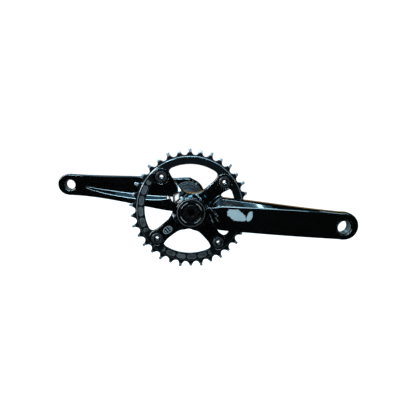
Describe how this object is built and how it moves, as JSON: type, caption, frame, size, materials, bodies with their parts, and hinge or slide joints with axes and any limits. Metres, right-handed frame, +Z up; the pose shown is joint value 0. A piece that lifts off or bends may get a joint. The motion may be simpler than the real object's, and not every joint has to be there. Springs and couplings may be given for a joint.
{
  "type": "bicycle crankset",
  "caption": "Mountain bike crankset: black forged crank arms, spider with a narrow-wide chainring, hollow steel spindle and the external-cup bottom bracket it spins in.",
  "frame": {"origin": "centre of the bottom bracket, on the spindle's axis", "axes": "+X along the drive-side arm, +Y along the spindle from the drive side to the non-drive side, +Z up"},
  "size_m": [0.3848, 0.17, 0.1442],
  "materials": {
    "gloss_black_arm": "gloss",
    "black_ring": "satin",
    "dark_fastener": "satin",
    "steel": "satin",
    "black_cap": "satin",
    "black_cup": "satin",
    "black_plastic": "matte",
    "seal_rubber": "matte"
  },
  "bodies": {
    "bottom_bracket": {"drive_cup": "black_cup", "non_drive_cup": "black_cup", "centre_sleeve": "black_plastic", "drive_bearing_outer_race": "steel", "non_drive_bearing_outer_race": "steel", "drive_bearing_inboard_seal": "seal_rubber", "drive_bearing_outboard_seal": "seal_rubber", "non_drive_bearing_inboard_seal": "seal_rubber", "non_drive_bearing_outboard_seal": "seal_rubber", "drive_sleeve_ring": "seal_rubber", "non_drive_sleeve_ring": "seal_rubber"},
    "crank": {"drive_arm": "gloss_black_arm", "non_drive_arm": "gloss_black_arm", "spindle": "steel", "chainring": "black_ring", "chainring_bolt_1": "dark_fastener", "chainring_bolt_2": "dark_fastener", "chainring_bolt_3": "dark_fastener", "chainring_bolt_4": "dark_fastener", "chainring_nut_1": "dark_fastener", "chainring_nut_2": "dark_fastener", "chainring_nut_3": "dark_fastener", "chainring_nut_4": "dark_fastener", "crank_bolt": "dark_fastener", "crank_bolt_washer": "steel", "extractor_cap": "black_cap", "non_drive_spacer": "black_plastic", "wave_washer": "steel", "drive_dust_cover": "black_plastic", "non_drive_dust_cover": "black_plastic", "drive_bearing_inner_race": "steel", "non_drive_bearing_inner_race": "steel"},
    "drive_balls": {"drive_ball_cage": "steel"},
    "non_drive_balls": {"non_drive_ball_cage": "steel"}
  },
  "joints": [
    {"name": "crank_spin", "type": "hinge", "parent": "bottom_bracket", "child": "crank", "pos_m": [0, 0, 0], "axis": [0, 1, 0], "continuous": true},
    {"name": "drive_balls_spin", "type": "hinge", "parent": "bottom_bracket", "child": "drive_balls", "pos_m": [0, -0.0432, 0], "axis": [0, 1, 0], "continuous": true},
    {"name": "non_drive_balls_spin", "type": "hinge", "parent": "bottom_bracket", "child": "non_drive_balls", "pos_m": [0, 0.0432, 0], "axis": [0, 1, 0], "continuous": true}
  ],
  "couplings": [
    {"joint": "drive_balls_spin", "follows": "crank_spin", "ratio": 0.4516},
    {"joint": "non_drive_balls_spin", "follows": "crank_spin", "ratio": 0.4516}
  ]
}
